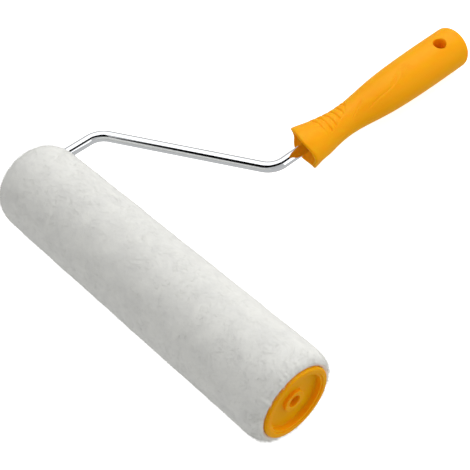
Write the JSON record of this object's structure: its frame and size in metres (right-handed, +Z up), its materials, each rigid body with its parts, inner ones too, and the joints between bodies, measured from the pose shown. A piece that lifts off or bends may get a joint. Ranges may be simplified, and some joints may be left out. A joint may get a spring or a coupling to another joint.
{
  "type": "paint roller",
  "caption": "Paint roller: a plush-covered roll turning on the axle of a bent round steel frame with a flared, waisted moulded handle.",
  "frame": {"origin": "under the middle of the part's box, on the surface it lies on", "axes": "+X along the cover's axis from the arm to the free end, +Y from the cover towards the handle's back end, +Z up; the part lies on its cover and on the handle's back end, so the frame's plane slopes down by 2.86 degrees towards +Y"},
  "size_m": [0.2694, 0.3518, 0.065],
  "materials": {
    "handle": "moulded orange polypropylene, satin",
    "rod": "bright chrome plate",
    "collar": "moulded nylon, natural",
    "clip": "blued spring steel",
    "core": "extruded polypropylene, grey-white",
    "nap": "knitted acrylic plush",
    "caps": "moulded orange polypropylene, satin"
  },
  "bodies": {
    "frame": {"handle_grip": "handle", "frame_rod": "rod", "stop_collar": "collar", "retaining_clip": "clip"},
    "cover": {"core_tube": "core", "nap_sleeve": "nap", "inner_end_cap": "caps", "outer_end_cap": "caps"}
  },
  "joints": [
    {"name": "cover_spin", "type": "hinge", "parent": "frame", "child": "cover", "pos_m": [0.0063, -0.14341, 0.0325], "axis": [1, 0, 0], "continuous": true}
  ]
}
